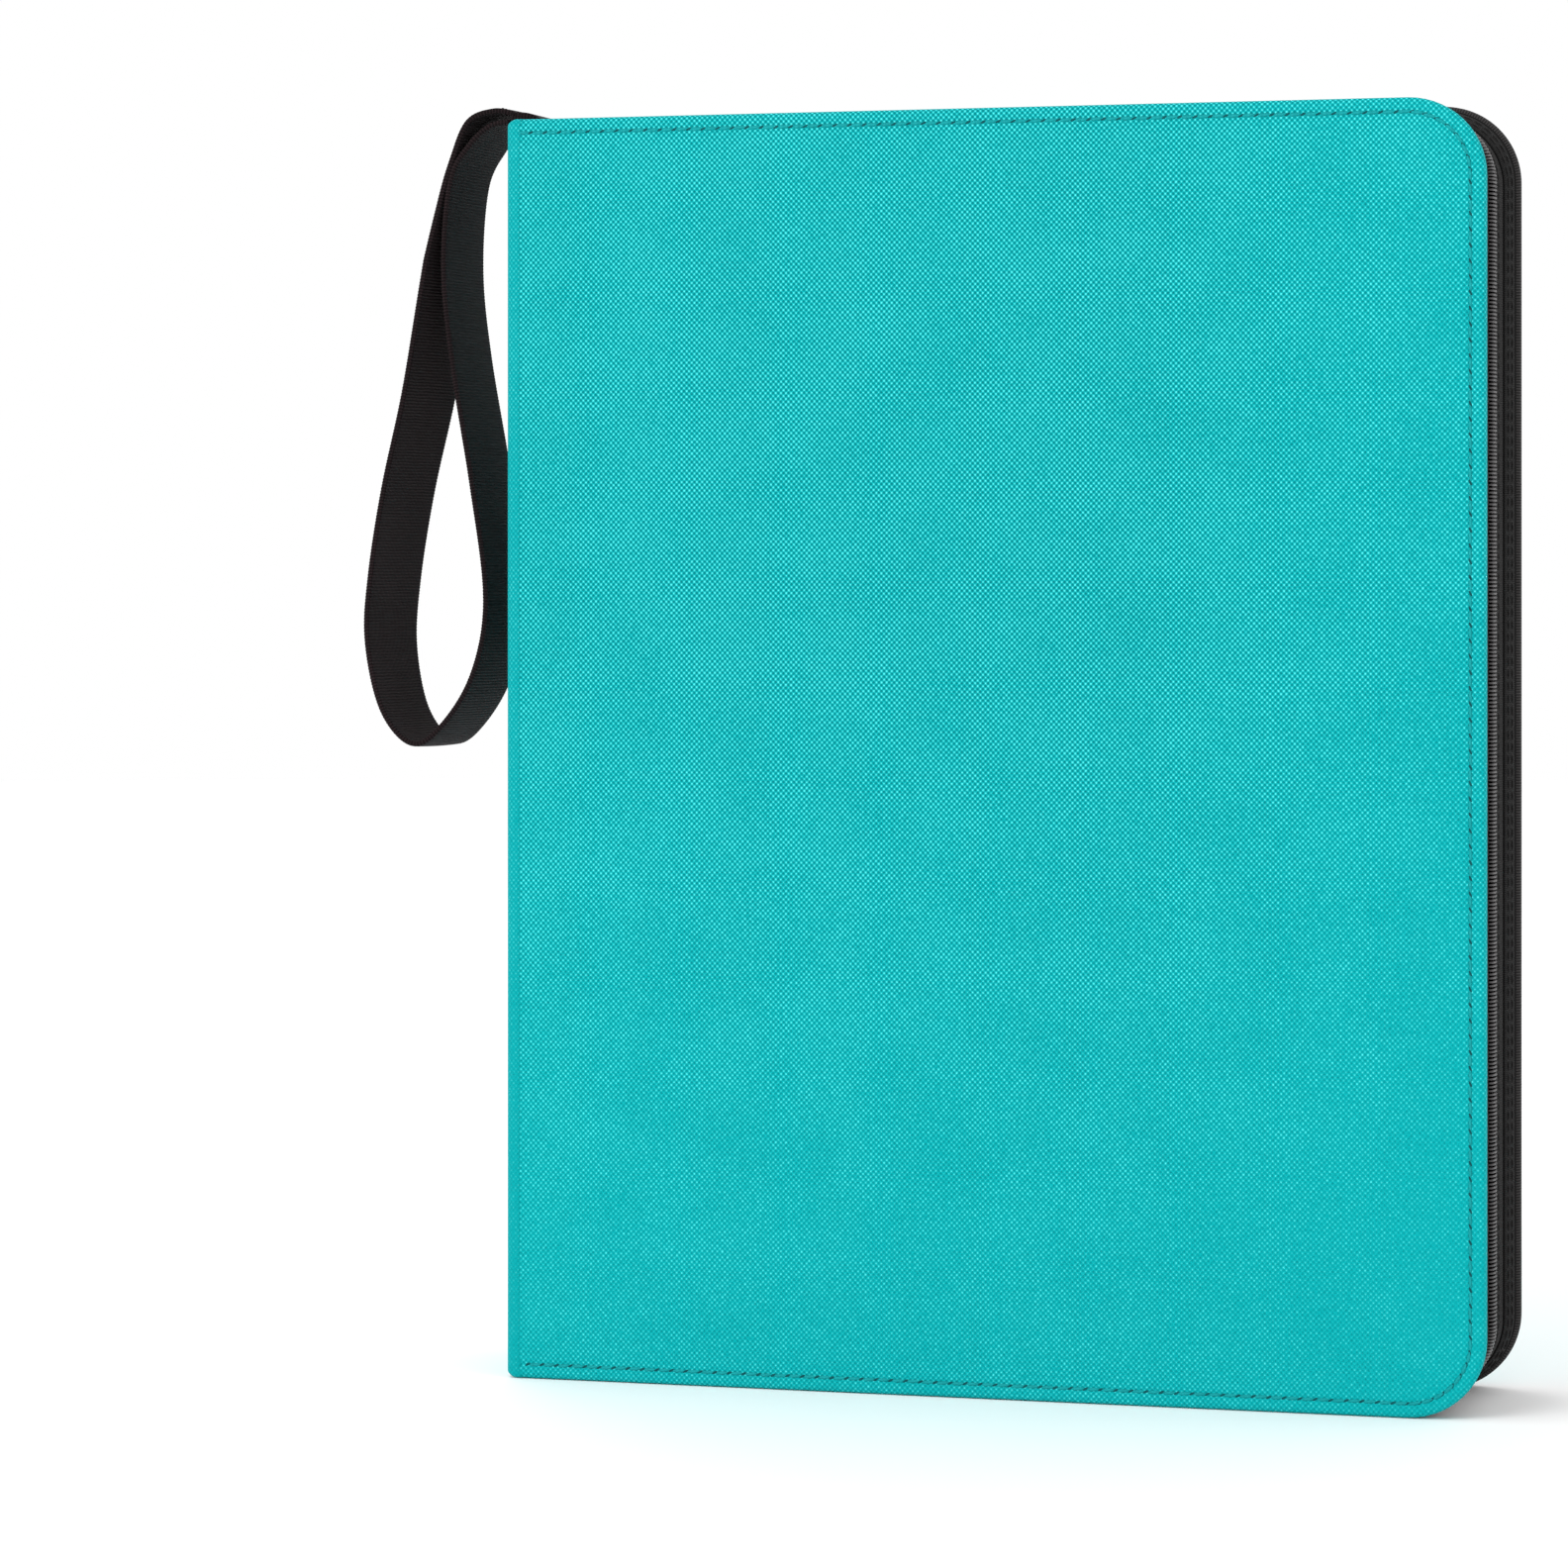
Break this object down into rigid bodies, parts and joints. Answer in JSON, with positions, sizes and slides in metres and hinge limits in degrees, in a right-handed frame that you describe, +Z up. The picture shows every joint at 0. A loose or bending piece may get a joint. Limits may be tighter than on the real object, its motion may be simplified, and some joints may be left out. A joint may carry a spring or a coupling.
{
  "type": "trading card binder",
  "caption": "Zip-round trading card binder with padded fabric covers, three rings holding nine-pocket pages of cards, and a webbing wrist strap.",
  "frame": {"origin": "middle of the back cover's bottom edge, the edge that the closed binder stands on", "axes": "+X from the spine to the zip edge, -Y out of the front cover, +Z up along the spine"},
  "size_m": [0.3089, 0.06, 0.3417],
  "materials": {
    "teal_fabric": "woven polyester, teal",
    "board": "grey-brown stiffener board",
    "lining": "plain black lining",
    "black_fabric": "black woven polyester band",
    "zip_tape": "black woven zip tape",
    "zip_coil": "black nylon coil, slight sheen",
    "black_metal": "black coated steel",
    "plated_steel": "nickel-plated steel",
    "ring_steel": "bright nickel-plated wire",
    "webbing": "black ribbed nylon webbing",
    "pull_cord": "black cord loop",
    "pull_rubber": "dark grey moulded rubber",
    "page_backing": "dark embossed plastic sheet",
    "page_film": "clear polypropylene film",
    "card_stock": "printed card, white border"
  },
  "bodies": {
    "back_cover": {"back_skin": "teal_fabric", "back_board": "board", "back_lining": "lining", "back_band": "black_fabric", "back_tape": "zip_tape", "back_coil": "zip_coil"},
    "spine": {"spine_skin": "teal_fabric", "spine_board": "board", "spine_lining": "lining", "front_fold": "teal_fabric", "back_fold": "teal_fabric", "cap_top": "black_fabric", "cap_bottom": "black_fabric", "ring_base": "black_metal", "ring_rivets": "plated_steel", "strap_anchor": "webbing"},
    "front_cover": {"front_skin": "teal_fabric", "front_board": "board", "front_lining": "lining", "front_band": "black_fabric", "front_tape": "zip_tape", "front_coil": "zip_coil"},
    "ring_front": {"ring_half_front": "ring_steel", "plate_front": "plated_steel"},
    "ring_back": {"ring_half_back": "ring_steel", "plate_back": "plated_steel"},
    "strap": {"strap_loop": "webbing"},
    "slider": {"slider_body": "black_metal"},
    "pull": {"pull_loop": "pull_cord", "pull_grip": "pull_rubber"},
    "page_f1": {"sheet_f1": "page_backing", "film_f1": "page_film", "cards_f1": "card_stock"},
    "page_f2": {"sheet_f2": "page_backing", "film_f2": "page_film", "cards_f2": "card_stock"},
    "page_f3": {"sheet_f3": "page_backing", "film_f3": "page_film", "cards_f3": "card_stock"},
    "page_f4": {"sheet_f4": "page_backing", "film_f4": "page_film", "cards_f4": "card_stock"},
    "page_b1": {"sheet_b1": "page_backing", "film_b1": "page_film", "cards_b1": "card_stock"},
    "page_b2": {"sheet_b2": "page_backing", "film_b2": "page_film", "cards_b2": "card_stock"},
    "page_b3": {"sheet_b3": "page_backing", "film_b3": "page_film", "cards_b3": "card_stock"},
    "page_b4": {"sheet_b4": "page_backing", "film_b4": "page_film", "cards_b4": "card_stock"}
  },
  "joints": [
    {"name": "spine_fold", "type": "hinge", "parent": "back_cover", "child": "spine", "pos_m": [-0.129, 0, 0.1675], "axis": [0, 0, -1], "range_deg": [0, 90]},
    {"name": "front_fold", "type": "hinge", "parent": "spine", "child": "front_cover", "pos_m": [-0.129, -0.056, 0.1675], "axis": [0, 0, -1], "range_deg": [0, 90]},
    {"name": "ring_open", "type": "hinge", "parent": "spine", "child": "ring_front", "pos_m": [-0.1254, -0.04, 0.1675], "axis": [0, 0, -1], "range_deg": [0, 9]},
    {"name": "ring_open_back", "type": "hinge", "parent": "spine", "child": "ring_back", "pos_m": [-0.1254, -0.016, 0.1675], "axis": [0, 0, 1], "range_deg": [0, 9]},
    {"name": "strap_swing", "type": "hinge", "parent": "spine", "child": "strap", "pos_m": [-0.13, -0.028, 0.3371], "axis": [0, 1, 0], "range_deg": [0, 90]},
    {"name": "zip_slide", "type": "slide", "parent": "back_cover", "child": "slider", "axis": [1, 0, 0], "range_m": [0, 0.21]},
    {"name": "pull_flip", "type": "hinge", "parent": "slider", "child": "pull", "pos_m": [-0.11, -0.028, 0.3357], "axis": [0, -1, 0], "range_deg": [0, 110]},
    {"name": "page_turn_f1", "type": "hinge", "parent": "spine", "child": "page_f1", "pos_m": [-0.109, -0.028, 0.1675], "axis": [0, 0, -1], "range_deg": [0, 90]},
    {"name": "page_turn_f2", "type": "hinge", "parent": "spine", "child": "page_f2", "pos_m": [-0.109, -0.028, 0.1675], "axis": [0, 0, -1], "range_deg": [0, 90]},
    {"name": "page_turn_f3", "type": "hinge", "parent": "spine", "child": "page_f3", "pos_m": [-0.109, -0.028, 0.1675], "axis": [0, 0, -1], "range_deg": [0, 90]},
    {"name": "page_turn_f4", "type": "hinge", "parent": "spine", "child": "page_f4", "pos_m": [-0.109, -0.028, 0.1675], "axis": [0, 0, -1], "range_deg": [0, 90]},
    {"name": "page_turn_b1", "type": "hinge", "parent": "spine", "child": "page_b1", "pos_m": [-0.109, -0.028, 0.1675], "axis": [0, 0, 1], "range_deg": [0, 90]},
    {"name": "page_turn_b2", "type": "hinge", "parent": "spine", "child": "page_b2", "pos_m": [-0.109, -0.028, 0.1675], "axis": [0, 0, 1], "range_deg": [0, 90]},
    {"name": "page_turn_b3", "type": "hinge", "parent": "spine", "child": "page_b3", "pos_m": [-0.109, -0.028, 0.1675], "axis": [0, 0, 1], "range_deg": [0, 90]},
    {"name": "page_turn_b4", "type": "hinge", "parent": "spine", "child": "page_b4", "pos_m": [-0.109, -0.028, 0.1675], "axis": [0, 0, 1], "range_deg": [0, 90]}
  ],
  "couplings": [
    {"joint": "ring_open_back", "follows": "ring_open", "ratio": 1},
    {"joint": "page_turn_f1", "follows": "front_fold", "ratio": 1},
    {"joint": "page_turn_f2", "follows": "front_fold", "ratio": 1},
    {"joint": "page_turn_f3", "follows": "front_fold", "ratio": 1},
    {"joint": "page_turn_f4", "follows": "front_fold", "ratio": 1},
    {"joint": "page_turn_b1", "follows": "spine_fold", "ratio": 1},
    {"joint": "page_turn_b2", "follows": "spine_fold", "ratio": 1},
    {"joint": "page_turn_b3", "follows": "spine_fold", "ratio": 1},
    {"joint": "page_turn_b4", "follows": "spine_fold", "ratio": 1}
  ]
}
